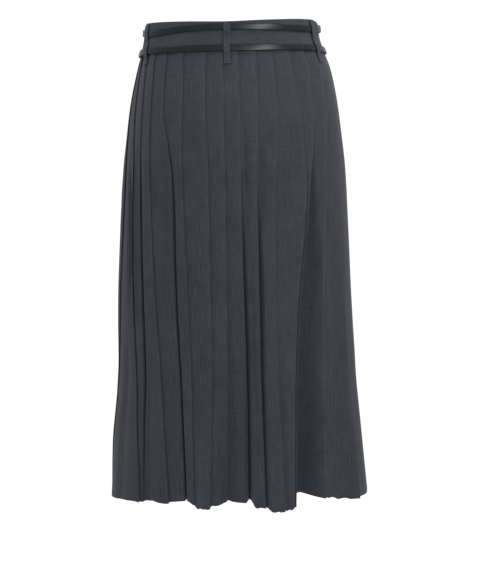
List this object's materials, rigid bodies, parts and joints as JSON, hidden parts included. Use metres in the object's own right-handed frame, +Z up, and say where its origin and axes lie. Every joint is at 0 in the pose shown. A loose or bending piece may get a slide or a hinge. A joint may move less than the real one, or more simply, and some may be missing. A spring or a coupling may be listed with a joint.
{
  "type": "pleated midi skirt with two narrow belts",
  "caption": "Knife-pleated midi skirt in its worn form, open at waist and hem, with two narrow leather belts through its belt loops.",
  "frame": {"origin": "on the axis of the waist, halfway between the two belts, where the wearer holds the skirt up", "axes": "+Z up, the wearer's front faces -Y, the wearer's right side is at -X"},
  "size_m": [0.4, 0.2971, 0.7325],
  "materials": {
    "wool_cloth": "matte charcoal worsted",
    "black_leather": "smooth satin",
    "steel": "polished"
  },
  "bodies": {
    "root": {"waistband_back": "wool_cloth", "waistband_front": "wool_cloth", "skirt_back": "wool_cloth", "skirt_front": "wool_cloth", "belt_loop_centre_back": "wool_cloth", "belt_loop_back_right": "wool_cloth", "belt_loop_back_left": "wool_cloth", "belt_loop_front_right": "wool_cloth", "belt_loop_front_left": "wool_cloth", "belt_upper_strap": "black_leather", "belt_upper_buckle": "steel", "belt_upper_prong": "steel", "belt_upper_keeper": "black_leather", "belt_lower_strap": "black_leather", "belt_lower_buckle": "steel", "belt_lower_prong": "steel", "belt_lower_keeper": "black_leather"}
  },
  "joints": []
}
